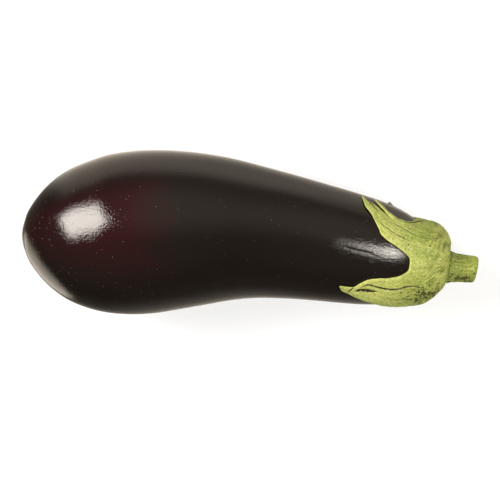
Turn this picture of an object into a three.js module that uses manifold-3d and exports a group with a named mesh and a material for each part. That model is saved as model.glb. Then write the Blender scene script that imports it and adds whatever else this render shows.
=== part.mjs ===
// An eggplant lying on its side: the bent fruit, the lobed calyx on its shoulder, and the cut stem.
// Millimetres. +X runs from the blossom end towards the stem, +Z is up, and the floor is Z = 0.
// The origin is the middle of the small flat spot that the fruit rests on.

import * as THREE from "three";
import { LoftGeometry } from "three/addons/geometries/LoftGeometry.js";
import { mergeVertices } from "three/addons/utils/BufferGeometryUtils.js";
import Module from "manifold-3d";

// Driving dimensions

// The middle line of the fruit and stem, from the blossom end to the cut end of the stem.
const SPINE_POINTS = [
  [-85.6, -2.2, 38.4],
  [-44.0, -1.4, 38.0],
  [-24.0, 0.0, 38.4],
  [-1.0, 1.3, 35.7],
  [31.0, -1.0, 30.5],
  [61.0, -6.2, 28.2],
  [81.0, -10.1, 28.2],
  [97.0, -13.4, 27.8],
  [109.0, -15.4, 27.3],
  [119.0, -17.1, 27.0],
  [132.0, -18.2, 27.0],
];

// Fruit radius at distances along the spine. The blossom end carries a small round scar.
const FRUIT_STATIONS = [
  [0.0, 2.0],
  [0.9, 6.2],
  [4.3, 14.1],
  [13.8, 25.2],
  [28.1, 33.9],
  [47.0, 38.4],
  [62.0, 38.7],
  [85.0, 36.4],
  [114.0, 31.5],
  [143.0, 28.1],
  [168.0, 25.4],
  [184.0, 21.1],
  [194.5, 14.8],
  [200.0, 5.0],
];
const FRUIT_RINGS = 44;
const FRUIT_SIDES = 48;

// The calyx lies on the skin with a hair's gap. Its wall is thick at the crown and thins out to the tips.
const SKIN_GAP = 0.4;
const STEM_HOLE_RADIUS = 8.0;
const CROWN_REACH = 12;
const WALL_AT_CROWN = 7.2;
const WALL_AT_TIPS = 1.2;
const WALL_FADE = 14;
const EDGE_WALL = 0.8;
const EDGE_SLOPE = 0.45;

// The calyx laid flat. A place on it is an angle round the spine, in degrees from straight up towards +Y,
// and a reach down the skin from the stem hole. Each lobe runs from its base, the first places of its left
// and right edges, to its tip, which stands off the skin by the lift. The margin then follows the gap to the
// next lobe. The third lobe is a strand that a slit parts from the second.
const LOBES = [
  {
    left: [[-88, 25], [-75, 29], [-66, 33.2], [-59.5, 38], [-52, 43.6]],
    right: [[-22.5, 23.8], [-26, 28.7], [-29, 35.5], [-37, 41.6], [-42, 43.9]],
    tip: [-41.5, 50],
    lift: 0.6,
    gap: [[-18, 21], [-13, 19.6], [-5, 19.5], [3, 20.5]],
    columns: 12,
  },
  {
    left: [[8.8, 24.2], [16.5, 32.7], [22, 35.5], [35.5, 39.6], [51.5, 45]],
    right: [[41.8, 31], [47.5, 36.2], [52.8, 39.8], [59, 44]],
    tip: [66, 47],
    lift: 0.2,
    gap: [],
    columns: 8,
  },
  {
    left: [[41.8, 31], [48, 33.7], [53, 35.8], [59, 38]],
    right: [[47.6, 29], [51, 32], [53.5, 34.2], [60, 36.4]],
    tip: [68, 40.6],
    lift: 0.2,
    gap: [[48.3, 26.8], [50, 24], [55.5, 21.3], [68, 18.8], [90, 17.2]],
    columns: 3,
  },
  {
    left: [[109, 20.5], [110, 25], [105, 29.5]],
    right: [[130, 24], [121, 29], [110, 32.6]],
    tip: [94, 33.2],
    lift: 0.2,
    gap: [[135, 20.7], [140, 19.6], [145, 20.3]],
    columns: 6,
  },
  {
    left: [[150, 23], [158, 30]],
    right: [[190, 24], [182, 30]],
    tip: [168, 38],
    lift: 0,
    gap: [[195, 21], [200, 20], [204, 21]],
    columns: 8,
  },
  {
    left: [[208, 24], [218, 34]],
    right: [[241, 25], [236, 29], [231, 36]],
    tip: [228, 44],
    lift: 0.6,
    gap: [[247, 22], [257, 20], [266, 22]],
    columns: 8,
  },
];
const MM_PER_DEGREE = 0.44;
const CROWN_ROWS = 9;
const LOBE_ROWS = 12;
const GAP_COLUMNS = 8;

// The stem grows out of the crown and is cut slantwise. Its section has blunt ridges.
// The stations are height above the end of the fruit, then radius.
const STEM_STATIONS = [
  [0.4, 8.6],
  [4.6, 8.5],
  [6.6, 7.6],
  [9.5, 6.9],
  [13.4, 6.5],
  [18.2, 6.2],
  [19.2, 5.1],
];
const STEM_RIDGES = 5;
const STEM_RIDGE_SHARE = 0.04;
const STEM_CUT_SLANT = 0.2;
const STEM_SIDES = 30;

// Colours

const SKIN_COLOUR = 0x2a1a1c;
const GREEN_COLOUR = 0xb4ba62;

// The spine and the skin

const FULL_TURN = 2 * Math.PI;
const UP = new THREE.Vector3(0, 0, 1);
const spine = new THREE.CatmullRomCurve3(SPINE_POINTS.map((p) => new THREE.Vector3(...p)));
const spineLength = spine.getLength();
const toCurve = (stations) => new THREE.SplineCurve(stations.map((p) => new THREE.Vector2(...p)));
const skin = toCurve(FRUIT_STATIONS);
const skinLength = skin.getLength();

// A point at a distance along the spine, an angle round it from straight up towards +Y, and a radius.
function around(distance, angle, radius) {
  const share = THREE.MathUtils.clamp(distance / spineLength, 0, 1);
  const tangent = spine.getTangentAt(share);
  const side = UP.clone().cross(tangent).normalize();
  const top = tangent.clone().cross(side);
  return spine
    .getPointAt(share)
    .addScaledVector(tangent, distance - share * spineLength)
    .addScaledVector(top, radius * Math.cos(angle))
    .addScaledVector(side, radius * Math.sin(angle));
}

// A closed ring of points, counterclockwise as seen from the stem end.
function ring(sides, pointAtAngle) {
  return Array.from({ length: sides }, (_, i) => pointAtAngle((-FULL_TURN * i) / sides));
}

// Solids

const wasm = await Module();
wasm.setup();

function toSolid(geometry) {
  const bare = new THREE.BufferGeometry().setAttribute("position", geometry.getAttribute("position"));
  bare.setIndex(geometry.getIndex());
  const merged = mergeVertices(bare);
  return new wasm.Manifold(
    new wasm.Mesh({
      numProp: 3,
      vertProperties: new Float32Array(merged.getAttribute("position").array),
      triVerts: new Uint32Array(merged.getIndex().array),
    }),
  );
}

function toGeometry(solid) {
  const { vertProperties, triVerts } = solid.getMesh();
  const geometry = new THREE.BufferGeometry();
  geometry.setAttribute("position", new THREE.BufferAttribute(vertProperties, 3));
  geometry.setIndex(new THREE.BufferAttribute(triVerts, 1));
  geometry.computeVertexNormals();
  return geometry;
}

// The fruit, with its underside cut level where it touches the floor.
function fruitGeometry() {
  const sections = skin
    .getSpacedPoints(FRUIT_RINGS)
    .map(({ x: distance, y: radius }) => ring(FRUIT_SIDES, (angle) => around(distance, angle, radius)));
  const whole = new LoftGeometry(sections, { capStart: true, capEnd: true });
  const below = new THREE.BoxGeometry(spineLength, spineLength, spineLength);
  below.translate(0, 0, -spineLength / 2);
  return toGeometry(toSolid(whole).subtract(toSolid(below)));
}

// Where the skin reaches the edge of the stem hole, as a length along the skin from the blossom end.
function skinLengthToHole() {
  let low = 0.5;
  let high = 1;
  for (let step = 0; step < 40; step++) {
    const middle = (low + high) / 2;
    if (skin.getPointAt(middle).y > STEM_HOLE_RADIUS) low = middle;
    else high = middle;
  }
  return low * skinLength;
}
const holeLength = skinLengthToHole();

// A point off the skin, at a reach down it from the stem hole, an angle, and a height above it.
// Heights stand square to the skin, and lean over to run along the stem near the hole.
function offSkin(reach, angle, height) {
  const share = (holeLength - reach) / skinLength;
  const foot = skin.getPointAt(share);
  const along = skin.getTangentAt(share);
  const lean = 1 - THREE.MathUtils.smoothstep(reach, 0, CROWN_REACH);
  const rise = new THREE.Vector2(-along.y, along.x).lerp(new THREE.Vector2(1, 0), lean).setLength(height);
  return around(foot.x + rise.x, angle, foot.y + rise.y);
}

// The wall at a reach and a distance from the margin, where it swells from a thin edge to its full strength.
function wallThickness(reach, toMargin) {
  const full = WALL_AT_TIPS + (WALL_AT_CROWN - WALL_AT_TIPS) * Math.exp(-((reach / WALL_FADE) ** 2));
  const swelling = EDGE_WALL + EDGE_SLOPE * toMargin;
  return (full ** -3 + swelling ** -3) ** (-1 / 3);
}

// Places along a line through the given places on the flat calyx, evenly spaced.
function flatLine(places, steps) {
  const curve = toCurve(places.map(([angle, reach]) => [angle * MM_PER_DEGREE, reach]));
  return curve.getSpacedPoints(steps);
}

// The flat calyx as sheets: grids of places with a lift, in rows that run across each column.
function calyxSheets() {
  const sheets = [];
  const margin = [];
  const crownEdge = [];
  const withLift = (place, lift) => ({ place, lift });
  LOBES.forEach((lobe, i) => {
    const next = LOBES[(i + 1) % LOBES.length];
    const turn = next === LOBES[0] ? 360 : 0;
    const nextBase = [next.left[0][0] + turn, next.left[0][1]];
    const left = flatLine([...lobe.left, lobe.tip], LOBE_ROWS);
    const right = flatLine([...lobe.right, lobe.tip], LOBE_ROWS);
    const across = (row, column) => left[row].clone().lerp(right[row], column / lobe.columns);
    const gap = lobe.gap.length ? flatLine([lobe.right[0], ...lobe.gap, nextBase], GAP_COLUMNS) : [];
    sheets.push(
      Array.from({ length: LOBE_ROWS + 1 }, (_, row) =>
        Array.from({ length: lobe.columns + 1 }, (_, column) =>
          withLift(across(row, column), lobe.lift * (row / LOBE_ROWS) ** 3),
        ),
      ),
    );
    for (let column = 0; column < lobe.columns; column++) crownEdge.push(across(0, column));
    crownEdge.push(...gap.slice(0, -1));
    margin.push(...left, ...right, ...gap);
  });
  const oneTurn = new THREE.Vector2(360 * MM_PER_DEGREE, 0);
  crownEdge.push(crownEdge[0].clone().add(oneTurn));
  sheets.push(
    Array.from({ length: CROWN_ROWS + 1 }, (_, row) =>
      crownEdge.map((end) => withLift(new THREE.Vector2(end.x, (end.y * row) / CROWN_ROWS), 0)),
    ),
  );
  const turns = [-1, 0, 1];
  return { sheets, margin: turns.flatMap((n) => margin.map((p) => p.clone().addScaledVector(oneTurn, n))) };
}

// The calyx: both faces of every sheet, and a wall wherever a sheet's edge has no neighbour.
function calyxGeometry() {
  const { sheets, margin } = calyxSheets();
  const points = [];
  const numbers = new Map();
  const number = (point) => {
    const key = point.toArray().map((v) => Math.round(v * 1000)).join();
    if (!numbers.has(key)) numbers.set(key, points.push(point) - 1);
    return numbers.get(key);
  };
  const corner = ({ place, lift }) => {
    const angle = THREE.MathUtils.degToRad(place.x / MM_PER_DEGREE);
    const toMargin = Math.min(...margin.map((p) => p.distanceTo(place)));
    const foot = SKIN_GAP + lift;
    return {
      inner: number(offSkin(place.y, angle, foot)),
      outer: number(offSkin(place.y, angle, foot + wallThickness(place.y, toMargin))),
    };
  };
  const triangles = [];
  const edges = new Map();
  const addTriangle = (a, b, c) => {
    if (a.outer === b.outer || b.outer === c.outer || c.outer === a.outer) return;
    triangles.push(a.outer, b.outer, c.outer, a.inner, c.inner, b.inner);
    for (const [from, to] of [[a, b], [b, c], [c, a]]) {
      const back = `${to.outer} ${from.outer}`;
      if (!edges.delete(back)) edges.set(`${from.outer} ${to.outer}`, [from, to]);
    }
  };
  for (const sheet of sheets) {
    const corners = sheet.map((row) => row.map(corner));
    for (let i = 0; i + 1 < corners.length; i++) {
      for (let j = 0; j + 1 < corners[i].length; j++) {
        addTriangle(corners[i][j], corners[i][j + 1], corners[i + 1][j + 1]);
        addTriangle(corners[i][j], corners[i + 1][j + 1], corners[i + 1][j]);
      }
    }
  }
  for (const [from, to] of edges.values()) {
    triangles.push(from.outer, from.inner, to.inner, from.outer, to.inner, to.outer);
  }
  const geometry = new THREE.BufferGeometry().setFromPoints(points);
  geometry.setIndex(triangles);
  geometry.computeVertexNormals();
  return geometry;
}

function stemGeometry() {
  const foot = FRUIT_STATIONS.at(-1)[0];
  const length = STEM_STATIONS.at(-1)[0];
  const sections = STEM_STATIONS.map(([height, radius]) =>
    ring(STEM_SIDES, (angle) => {
      const ridged = radius * (1 + STEM_RIDGE_SHARE * Math.cos(STEM_RIDGES * angle));
      const slant = STEM_CUT_SLANT * ridged * Math.sin(angle) * (height / length) ** 4;
      return around(foot + height + slant, angle, ridged);
    }),
  );
  return new LoftGeometry(sections, { capStart: true, capEnd: true });
}

// The calyx and the stem are one growth, so they are joined.
function greenGeometry() {
  return toGeometry(toSolid(calyxGeometry()).add(toSolid(stemGeometry())));
}

// The assembly

function piece(name, geometry, colour, roughness) {
  const material = new THREE.MeshStandardMaterial({ color: colour, roughness, metalness: 0 });
  const mesh = new THREE.Mesh(geometry, material);
  mesh.name = name;
  return mesh;
}

const eggplant = new THREE.Group();
eggplant.name = "eggplant";
eggplant.add(piece("fruit", fruitGeometry(), SKIN_COLOUR, 0.18));
eggplant.add(piece("calyx_and_stem", greenGeometry(), GREEN_COLOUR, 0.75));

export default eggplant;
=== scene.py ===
"""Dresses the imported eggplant: glossy skin, leafy calyx and ribbed stem, on a pale floor in soft light."""

import math

import bpy
import numpy as np
from mathutils import Matrix, Vector, kdtree, noise


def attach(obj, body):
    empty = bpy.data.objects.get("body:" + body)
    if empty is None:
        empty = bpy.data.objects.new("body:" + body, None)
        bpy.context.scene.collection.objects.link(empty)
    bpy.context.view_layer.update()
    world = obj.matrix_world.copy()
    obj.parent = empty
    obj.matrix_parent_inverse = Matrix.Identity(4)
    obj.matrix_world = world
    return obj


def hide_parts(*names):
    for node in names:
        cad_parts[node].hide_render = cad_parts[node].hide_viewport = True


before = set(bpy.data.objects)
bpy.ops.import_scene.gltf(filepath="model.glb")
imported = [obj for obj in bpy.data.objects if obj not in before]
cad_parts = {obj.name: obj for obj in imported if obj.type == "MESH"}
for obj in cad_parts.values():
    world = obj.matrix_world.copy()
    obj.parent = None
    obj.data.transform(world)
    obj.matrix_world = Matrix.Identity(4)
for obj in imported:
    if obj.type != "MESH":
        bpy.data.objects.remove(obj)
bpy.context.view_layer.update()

# Shapes. Lengths are in millimetres, as in the part's source, and become metres when a mesh is made.
# A span is the two values between which something comes in or fades out.

MM = 0.001

# The middle line of the fruit and stem, from the blossom end to the cut end of the stem.
SPINE_POINTS = [
    (-85.6, -2.2, 38.4),
    (-44.0, -1.4, 38.0),
    (-24.0, 0.0, 38.4),
    (-1.0, 1.3, 35.7),
    (31.0, -1.0, 30.5),
    (61.0, -6.2, 28.2),
    (81.0, -10.1, 28.2),
    (97.0, -13.4, 27.8),
    (109.0, -15.4, 27.3),
    (119.0, -17.1, 27.0),
    (132.0, -18.2, 27.0),
]

# Fruit radius at distances along the spine.
FRUIT_STATIONS = [
    (0.0, 2.0),
    (0.9, 6.2),
    (4.3, 14.1),
    (13.8, 25.2),
    (28.1, 33.9),
    (47.0, 38.4),
    (62.0, 38.7),
    (85.0, 36.4),
    (114.0, 31.5),
    (143.0, 28.1),
    (168.0, 25.4),
    (184.0, 21.1),
    (194.5, 14.8),
    (200.0, 5.0),
]

# How far each way the two curves are evened, and the most of the way to their ends that this takes.
SPINE_EVENING = 22.0
SKIN_EVENING = 14.0
EVEN_SHARE = 0.3

# The fruit's mesh has rings along it, and sides round it that lie closer together on top.
FRUIT_RINGS = 400
FRUIT_SIDES = 216
CLOSER_AT_TOP = 0.6
SMALLEST_RING = 0.02

# The dimple of the blossom scar, and the faint lumps of the skin and ribs of the neck.
SCAR_RINGS = 5
SCAR_DIP = 0.5
LUMP_SIZE = 26.0
LUMP_HEIGHT = 0.13
NECK_RIBS = {"height": 0.16, "length": 45.0, "round": 4.0}
NECK_RIB_START = (110.0, 180.0)
SWELL_START = (4.0, 30.0)
SWELL_END = (200.0, 222.0)

# A shallow crease on the neck, from one run along the skin and angle from straight up to another.
# Its two sides have widths of their own.
NECK_RADIUS = 25.0
CREASE_ENDS = [(168.5, -0.4), (187.0, -1.7)]
CREASE_SIDES = (1.4, 0.75)
CREASE_FADE = 4.0
CREASE_DEPTH = 0.13
CREASE_WOBBLE = 0.25
CREASE_WOBBLE_LENGTH = 2.2

# The calyx lies on the skin with a hair's gap. Its wall is thick at the crown and thins out to the tips.
SKIN_GAP = 0.4
STEM_HOLE_RADIUS = 8.0
CROWN_REACH = 12.0
WALL_AT_CROWN = 7.2
WALL_AT_TIPS = 1.2
WALL_FADE = 14.0
EDGE_WALL = 0.8
EDGE_SLOPE = 0.45
WALL_ROUNDING = 3

# The calyx laid flat. A place on it is an angle round the spine, in degrees from straight up towards +Y,
# and a reach down the skin from the stem hole. Each lobe runs from its base, the first places of its left
# and right edges, to its tip, which its lift raises off the skin. The margin then follows the gap to the
# next lobe.
LOBES = [
    {
        "left": [(-88, 25), (-76, 28.4), (-66.4, 32.6), (-60, 37.6), (-55, 41.5), (-50.2, 45),
                 (-46.5, 48.4)],
        "right": [(-22.5, 23.8), (-26, 28.7), (-27.2, 32), (-29, 35.4), (-32, 38), (-36, 40.4),
                  (-41.2, 43.6)],
        "tip": (-41.2, 50),
        "lift": 0.6,
        "gap": [(-18, 21), (-13, 19.6), (-5, 19.5), (3, 20.5)],
    },
    {
        "left": [(8.8, 24.2), (13.5, 28.7), (16.8, 32.5), (21, 35.2), (27.5, 37.2), (36, 39.7),
                 (44, 42.4), (51.5, 45)],
        "right": [(41.8, 31), (45.5, 34), (49, 36.4), (53.5, 38.6), (57.6, 41.6), (59.5, 44)],
        "tip": (66, 47),
        "lift": 0.2,
        "gap": [],
    },
    {
        "left": [(41.8, 31), (48, 33.7), (53, 35.8), (59, 38)],
        "right": [(47.6, 29), (51, 32), (53.5, 34.2), (60, 36.4)],
        "tip": (68, 40.6),
        "lift": 0.2,
        "gap": [(48.3, 26.8), (50, 24), (55.5, 21.3), (68, 18.8), (90, 17.2)],
    },
    {
        "left": [(109, 20.5), (110, 25), (105, 29.5)],
        "right": [(130, 24), (121, 29), (110, 32.6)],
        "tip": (94, 33.2),
        "lift": 0.2,
        "gap": [(135, 20.7), (140, 19.6), (145, 20.3)],
    },
    {
        "left": [(150, 23), (158, 30)],
        "right": [(190, 24), (182, 30)],
        "tip": (168, 38),
        "lift": 0.0,
        "gap": [(195, 21), (200, 20), (204, 21)],
    },
    {
        "left": [(208, 24), (218, 34)],
        "right": [(241, 25), (236, 29), (231, 36)],
        "tip": (228, 44),
        "lift": 0.6,
        "gap": [(247, 22), (257, 20), (266, 22)],
    },
]
LIFT_POWER = 3

# The flat calyx's scale across, the size of its mesh cells, how finely its places are told apart, the
# waver of its margin, and its rounded rim.
MM_PER_DEGREE = 0.44
FLAT_RADIUS = 360 * MM_PER_DEGREE / (2 * math.pi)
CELL = 0.3
PLACES_PER_MM = 1e5
WAVER = 0.22
WAVER_LENGTH = 2.6
WAVER_ROW = 0.3
FIRST_GAP_SEED = 100
RIM_STEPS = 4
RIM_BULGE = 0.25

# Splits and seams in the calyx: the places along each, its half width, and its share of the full depth.
CRACKS = [
    {"places": [(36, 38.5), (32.5, 36.5), (29, 33.2), (26, 30.5), (24.5, 27.5), (23, 23.7)],
     "width": 0.2, "depth": 0.75},
    {"places": [(43.5, 37), (38.5, 33), (37, 30), (34.5, 24.5), (31, 18.7), (33.5, 13.2), (43, 8.5)],
     "width": 0.2, "depth": 0.6},
    {"places": [(57.6, 43), (52.5, 41), (48.5, 39.4), (45.5, 38.2)], "width": 0.4, "depth": 1.0},
    {"places": [(-39.5, 39.7), (-35.5, 36.2), (-38, 30), (-38.5, 24), (-34.5, 19.2), (-33, 16.2),
                (-35.5, 13)],
     "width": 0.46, "depth": 0.95},
    {"places": [(-45.5, 41.8), (-43.5, 39.7), (-43.3, 37.2), (-43.5, 34.2), (-42.8, 31.8)],
     "width": 0.95, "depth": 1.0},
    {"places": [(-41, 43.2), (-44.5, 44.5), (-48, 45.8)], "width": 0.35, "depth": 0.8},
    {"places": [(46.5, 25.5), (48.5, 23.2), (54, 20.4), (63.5, 16.8), (70, 15.2)],
     "width": 0.3, "depth": 0.8},
    {"places": [(23.9, 25.9), (23.3, 24.7)], "width": 0.3, "depth": 0.9},
    {"places": [(22.9, 23.4), (22.3, 22.6)], "width": 0.25, "depth": 0.8},
    {"places": [(31.4, 17.4), (30.6, 16.6)], "width": 0.3, "depth": 0.9},
    {"places": [(23.4, 12.9), (22.6, 12.1)], "width": 0.3, "depth": 0.8},
]

# A split is followed in small steps, tapers to its ends and swells in knots. It leaves a thin floor.
CRACK_STEP = 0.1
CRACK_TAPER = 0.6
LEAST_CRACK_WIDTH = 0.08
KNOT_MEAN = 0.95
KNOT_SWING = 0.4
KNOT_LENGTH = 1.7
CRACK_FLOOR = 0.15
DEEPEST_CRACK = 1.1

# A swelling on the crown's far shoulder: the place of its middle, how far it spreads, and its height.
SHOULDER_PLACE = (80.0, 6.0)
SHOULDER_SPREAD = (34.0, 5.5)
SHOULDER_HEIGHT = 2.2

# Low relief on the calyx. Each kind has a height, a length along the calyx, and how often it turns round.
FIBRE_WIDTH = 1.1
PIT_WIDTH = 1.2
CALYX_FIBRES = {"height": 0.2, "length": 16.0, "round": FLAT_RADIUS / FIBRE_WIDTH}
CALYX_WRINKLES = {"height": 0.45, "length": 1.9, "round": 3.2}
CALYX_LUMPS = {"height": 0.34, "length": 6.0, "round": 4.0}
CALYX_PITS = {"height": 0.12, "length": 0.9, "round": FLAT_RADIUS / PIT_WIDTH}
MARGIN_LINES = {"height": 0.14, "length": 0.8, "round": 1.5}
MARGIN_LINES_REACH = 7.0
RELIEF_FROM_MARGIN = (0.2, 3.0)
RELIEF_FROM_STEM = (0.0, 3.0)

# The wrinkles are sharp ridges that slant about a middle angle, and lie about one reach on the crown.
WRINKLE_SHARPNESS = 3
WRINKLE_SLANT = 0.45
WRINKLE_MIDDLE = math.radians(-20)
WRINKLE_REACH = 6.0
WRINKLE_SPREAD = 6.0

# How much the wrinkles, lines and pits count as folds. Folds carry painted light: ridge tops are painted
# yellower and hollows deeper green, as shade.
FOLD_MIDDLE = 0.5
FOLD_FROM_WRINKLES = 0.5
FOLD_FROM_LINES = 0.35
FOLD_FROM_PITS = 0.12

# The stem grows out of the crown and is cut slantwise. Its section has blunt ridges.
# The stations are height above the end of the fruit, then radius.
STEM_STATIONS = [
    (0.4, 8.6),
    (4.6, 8.5),
    (6.6, 7.6),
    (9.5, 6.9),
    (13.4, 6.5),
    (17.7, 6.3),
    (19.1, 5.8),
    (19.7, 4.7),
]
STEM_RIDGES = 5
STEM_RIDGE_SHARE = 0.04
STEM_GRAIN = {"height": 0.34, "length": 9.0, "round": 4.0}
STEM_KNOBS = {"height": 0.204, "length": 2.2, "round": 3.0}
STEM_FOOT_LENGTH = 1.5
STEM_CUT_SLANT = 0.1
SLANT_POWER = 4
STEM_ROWS = 44
CUT_ROWS = 12
CUT_HOLLOW = 0.5
CUT_MIDDLE_SHARE = 0.005
CUT_FACT_AT_RIM = 0.5

# Where the calyx is mottled and painted darker as shade: about an angle on the crown's near side, between
# two spans of reach, and less on the underside. The stem is mottled and painted darker as shade most on its
# near side.
MOTTLE_AND_SHADE_ANGLE = -52.0
MOTTLE_AND_SHADE_SPREAD = 24.0
MOTTLE_AND_SHADE_START = (1.0, 6.0)
MOTTLE_AND_SHADE_END = (13.0, 26.0)
UNDER_ANGLE = 180.0
UNDER_SPAN = (70.0, 0.0)
UNDER_MOTTLE_AND_SHADE = 0.35
STEM_MOTTLE = 0.15
STEM_NEAR_MOTTLE_AND_SHADE = 0.65
STEM_NEAR_SPAN = (-0.1, 0.6)
STEM_FIBRE_RADIUS = 9.0
RIM_WIDTH = 0.32

# Noise is 0 at whole numbers, so a single line of it is read between them.
BETWEEN = 0.5

# Colours, as linear red, green and blue.

SKIN_MAROON = (0.0165, 0.0017, 0.0033)
SKIN_DARK = (0.0058, 0.0040, 0.0032)
SKIN_BLACK = (0.0046, 0.0036, 0.0029)
SKIN_SPECK = (0.30, 0.28, 0.25)
SCAR_BROWN = (0.050, 0.030, 0.017)
SCAR_PALE = (0.11, 0.076, 0.045)
CALYX_PALE = (0.262, 0.298, 0.061)
CALYX_GREEN = (0.165, 0.220, 0.031)
CALYX_DEEP = (0.092, 0.122, 0.018)
CALYX_YELLOW = (0.362, 0.378, 0.101)
RIM_PALE = (0.455, 0.466, 0.152)
CRACK_BROWN = (0.030, 0.021, 0.009)
SLIT_SHADE_BLACK = (0.006, 0.005, 0.004)
MOTTLE_DARK = (0.036, 0.035, 0.009)
STEM_GREEN = (0.178, 0.230, 0.034)
STEM_PALE = (0.335, 0.38, 0.075)
CUT_WOOD = (0.30, 0.27, 0.13)
CUT_PITH = (0.38, 0.38, 0.20)
FLOOR_PALE = (0.34, 0.355, 0.38)
FLOOR_PALER = (0.36, 0.375, 0.40)
WHITE = (1.0, 1.0, 1.0)

# Materials. Lengths are in metres. A span is two values and what is read at each, or 0 and 1 without that.
# Noise has a scale per metre, a detail and a roughness, and a stretch along each axis where it needs one.

# The skin's tones. The blush is a maroon tone and partly painted light: it is the product of its spans,
# which make it strongest on top and on the far side, where the key light falls, and its end wanders with the
# clouds.
SKIN_CLOUDS = (22.0, 3.0)
STREAKS = (1.0, 4.0, 0.6)
STREAK_STRETCH = (54.0, 27.0, 27.0)
BLUSH_AND_PAINTED_LIGHT_WANDER = 0.04
BLUSH_AND_PAINTED_LIGHT_SPANS = {
    "along": (0.075, 0.087, 1.0, 0.0),
    "up": (0.72, 0.95, 0.1, 1.0),
    "across": (-0.75, 0.15, 0.17, 1.0),
    "run": (0.02, 0.075, 0.45, 1.0),
    "streaks": (0.3, 0.7, 0.75, 1.0),
}
BLACK_CLOUDS = (0.5, 0.75, 0.0, 0.35)

# Pale specks, rarer away from the blossom end, and the ragged scar there.
SPECK_CELLS = 800.0
SPECK_EDGE = (0.08, 0.19, 1.0, 0.0)
SPECK_RARITY = (0.01, 0.09, 0.78, 0.94)
SPECK_SHARE = 0.19
SPECK_HEIGHT = 0.00005
SCAR_CRUST = (700.0, 3.0)
SCAR_RAGGED = 0.0036
SCAR_EDGE = (0.0022, 0.0034, 1.0, 0.0)
SCAR_TONES = (0.4, 0.65)
SCAR_ROUGHNESS = 0.75

# The skin's gloss: a fine peel, strokes on the neck, and short slanting scuffs about the crease.
SKIN_IOR = 1.47
GLOSS_PATCHES = (60.0, 4.0)
SKIN_ROUGHNESS = (0.3, 0.7, 0.045, 0.085)
PEEL = (1300.0, 2.0)
PEEL_HEIGHT = 0.00010
NECK_SPAN = (0.11, 0.19)
STROKES = (1.0, 3.0, 0.65)
STROKE_STRETCH = (260.0, 48.0, 48.0)
STROKE_ROUGHNESS = (0.35, 0.65, 0.0, 0.07)
STROKE_HEIGHT = 0.00009
SCUFFS = (1.0, 2.0, 0.6)
SCUFF_STRETCH = (330.0, 1350.0, 1.0)
SCUFF_SLANT = math.radians(50)
SCUFF_LEAD = 0.008
SCUFF_TAIL = 0.010
SCUFF_THINNING = 0.002
CREASE_START, CREASE_END = [run * MM for run, _ in CREASE_ENDS]
SCUFF_START = (CREASE_START - SCUFF_LEAD, CREASE_START)
SCUFF_END = (CREASE_END - SCUFF_THINNING, CREASE_END + SCUFF_TAIL, 1.0, 0.4)
SCUFF_SIDES = (0.1, 0.3, 1.0, 0.0)
SCUFF_HEIGHT = 0.00015

# The noises of the calyx and stem. Strands and veins are long along the fibres.
STRANDS = (1100.0, 3.0, 0.6)
STRAND_STRETCH = (0.09, 1.0, 1.0)
VEINS = (330.0, 2.0)
VEIN_STRETCH = (0.12, 1.0, 1.0)
PATCHES = (130.0, 4.0, 0.6)
GRIT = (1100.0, 3.0, 0.7)
STAINS = (560.0, 4.0, 0.75)

# Tones laid one over another: the value that each follows, where on it the tone begins and is full, its
# greatest share, and its colour.
CALYX_TONES = [
    ("patches", 0.32, 0.68, 1.0, CALYX_PALE),
    ("veins", 0.42, 0.70, 0.7, CALYX_YELLOW),
    ("strands", 0.48, 0.30, 0.6, CALYX_GREEN),
    ("reach", 0.011, 0.001, 0.55, CALYX_GREEN),
    ("reach", 0.016, 0.032, 0.32, RIM_PALE),
    # Painted light: fold tops are painted yellower as highlight, and hollows deeper green as shade.
    ("fold_shading", 0.58, 0.82, 0.9, CALYX_YELLOW),
    ("fold_shading", 0.46, 0.15, 0.7, CALYX_DEEP),
]
STEM_TONES = [
    ("strands", 0.35, 0.65, 1.0, STEM_PALE),
    ("stains", 0.48, 0.36, 0.7, CALYX_DEEP),
    ("stains", 0.52, 0.62, 0.5, CALYX_YELLOW),
]
GRIT_TONES = [
    ("grit", 0.49, 0.37, 0.55, CALYX_DEEP),
    ("grit", 0.53, 0.65, 0.55, RIM_PALE),
]
RIM_SHARE = 0.22
# The mottle field's share of deep green is partly painted shade.
MOTTLE_AND_SHADE_SHARE = 0.42
BLOTS_FROM_MOTTLE_AND_SHADE = 0.17
BLOT_SPAN = (0.632, 0.678, 0.0, 0.95)

# The cut end is woody with a dark rim. A split is brown, with breaks in it, and where it is deepest it is
# painted black, as the shade inside an open slit.
WOOD_SPAN = (0.35, 0.65)
CUT_RIM_SPAN = (0.62, 0.5)
CUT_SPAN = (0.1, 0.5)
SPLIT_SPAN = (0.12, 0.6)
SPLIT_BREAKS = (0.38, 0.5, 0.35, 1.0)
SLIT_SHADE_SPAN = (0.6, 0.85)

# The calyx and stem are matt.
GREEN_SPECULAR = 0.2
GREEN_ROUGHNESS = (0.3, 0.7, 0.5, 0.72)
STRAND_HEIGHT = 0.0003
VEIN_HEIGHT = 0.0005
GRIT_HEIGHT = 0.00012

# The floor is matt too, lies a hair under the fruit and glows faintly.
FLOOR_RADIUS = 4.0
FLOOR_SIDES = 96
FLOOR_DROP = 0.0002
FLOOR_CLOUDS = (3.0, 2.0)
FLOOR_TONES = (0.3, 0.7)
FLOOR_ROUGHNESS = (0.3, 0.7, 0.8, 0.9)
FLOOR_GLOW = 0.55

# Camera and light. Places and sizes are in metres, the lens and the sensor in millimetres.

CAMERA_PLACE = (0.0226, -0.0088, 0.930)
CAMERA_LENS = 134.92
CAMERA_SENSOR = 36.0
LIGHT_COLOUR = (1.0, 0.95, 0.87)
KEY_SOFTBOX = {
    "place": (-0.975, 0.449, 0.826),
    "target": (-0.199, 0.584, -0.169),
    "across": (0.555, 0.649, 0.521),
    "size": (0.723, 0.900),
    "power": 40.4,
}

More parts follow.
